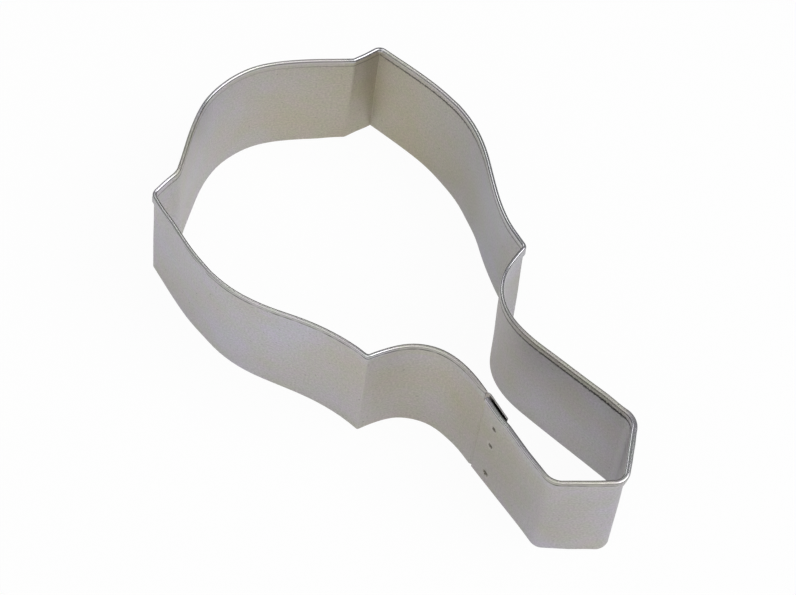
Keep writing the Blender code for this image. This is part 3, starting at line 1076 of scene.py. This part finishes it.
def weld_metal():
    """The same tin, burnt dark in the pit of a weld."""
    material = bpy.data.materials.new("weld_metal")
    material.use_nodes = True
    tree = material.node_tree
    shader = tree.nodes["Principled BSDF"]
    here = new_node(tree, "ShaderNodeTexCoord").outputs["Object"]
    grain = noise_of(tree, here, WELD_GRAIN_SCALE, detail=WELD_GRAIN_DETAIL)
    ragged = mapped(tree, grain, *NOISE_SPREAD, *BURN_RAGGED)
    burn = calculated(tree, "ADD", attribute(tree, "burn"), ragged)
    burn = mapped(tree, burn, 0.0, BURN_FULL_FROM)
    tree.links.new(mixed(tree, burn, WELD_TIN, WELD_BURN), shader.inputs["Base Color"])
    shader.inputs["Metallic"].default_value = 1
    rough = mapped(tree, grain, *NOISE_SPREAD, *WELD_ROUGHNESS)
    tree.links.new(rough, shader.inputs["Roughness"])
    return material


def add_camera():
    """The camera at the photograph's angle."""
    data = bpy.data.cameras.new("camera")
    data.sensor_width = SENSOR_WIDTH
    data.lens = CAMERA_LENS
    data.clip_start = CAMERA_NEAR
    camera = bpy.data.objects.new("camera", data)
    bpy.context.scene.collection.objects.link(camera)
    turn = Matrix.Rotation(-CAMERA_AZIMUTH, 4, "Z")
    nod = Matrix.Rotation(math.pi / 2 - CAMERA_ELEVATION, 4, "X")
    roll = Matrix.Rotation(CAMERA_ROLL, 4, "Z")
    camera.matrix_world = Matrix.Translation(Vector(CAMERA_PLACE) * MM) @ turn @ nod @ roll
    bpy.context.scene.camera = camera


def add_floor():
    """White paper that the camera and the metal see as nearly plain white, with a faint shadow."""
    bpy.ops.mesh.primitive_plane_add(size=FLOOR_SIZE)
    floor = bpy.context.object
    floor.name = "floor"
    material = bpy.data.materials.new("white_floor")
    material.use_nodes = True
    tree = material.node_tree
    tree.nodes.clear()
    paper = new_node(tree, "ShaderNodeBsdfDiffuse", {"Color": PAPER})
    white = new_node(tree, "ShaderNodeEmission", {"Strength": 1.0})
    path = new_node(tree, "ShaderNodeLightPath")
    camera = product(tree, path.outputs["Is Camera Ray"], WHITE_TO_CAMERA)
    glossy = product(tree, path.outputs["Is Glossy Ray"], WHITE_TO_METAL)
    share = calculated(tree, "MAXIMUM", camera, glossy)
    inputs = {0: share, 1: paper.outputs[0], 2: white.outputs[0]}
    mix = new_node(tree, "ShaderNodeMixShader", inputs)
    new_node(tree, "ShaderNodeOutputMaterial", {"Surface": mix.outputs[0]})
    floor.data.materials.append(material)


def add_world():
    """A room that is dark round the table, light overhead and dimmer on the right."""
    world = bpy.data.worlds.new("studio")
    bpy.context.scene.world = world
    world.use_nodes = True
    tree = world.node_tree
    seen = new_node(tree, "ShaderNodeTexCoord").outputs["Generated"]
    parts = new_node(tree, "ShaderNodeSeparateXYZ", {0: seen})
    light = mapped(tree, parts.outputs["Z"], 0.0, ROOM_HIGH_FROM, ROOM_LOW, ROOM_HIGH)
    side = mapped(tree, parts.outputs["X"], *ROOM_DIM_BETWEEN, 1.0, ROOM_DIM_SIDE)
    tree.links.new(product(tree, light, side), tree.nodes["Background"].inputs["Strength"])
    tree.nodes["Background"].inputs["Color"].default_value = ROOM_COLOUR


def add_lamp(name, towards, distance, size, power):
    """A round soft lamp that faces the object."""
    data = bpy.data.lights.new(name, "AREA")
    data.shape = "DISK"
    data.size = size
    data.energy = power
    lamp = bpy.data.objects.new(name, data)
    bpy.context.scene.collection.objects.link(lamp)
    lamp.visible_camera = False
    place = Vector(towards).normalized() * distance
    lamp.location = place
    lamp.rotation_euler = place.to_track_quat("Z", "Y").to_euler()


add_camera()
MIDDLE = outline_middle()
add_strip(MIDDLE)
WELD_METAL = weld_metal()
for weld_name in WELDS:
    add_weld(weld_name, MIDDLE, WELD_METAL)
add_floor()
add_world()
for lamp_name, lamp_values in LAMPS.items():
    add_lamp(lamp_name, *lamp_values)
bpy.context.scene.view_settings.view_transform = "Standard"
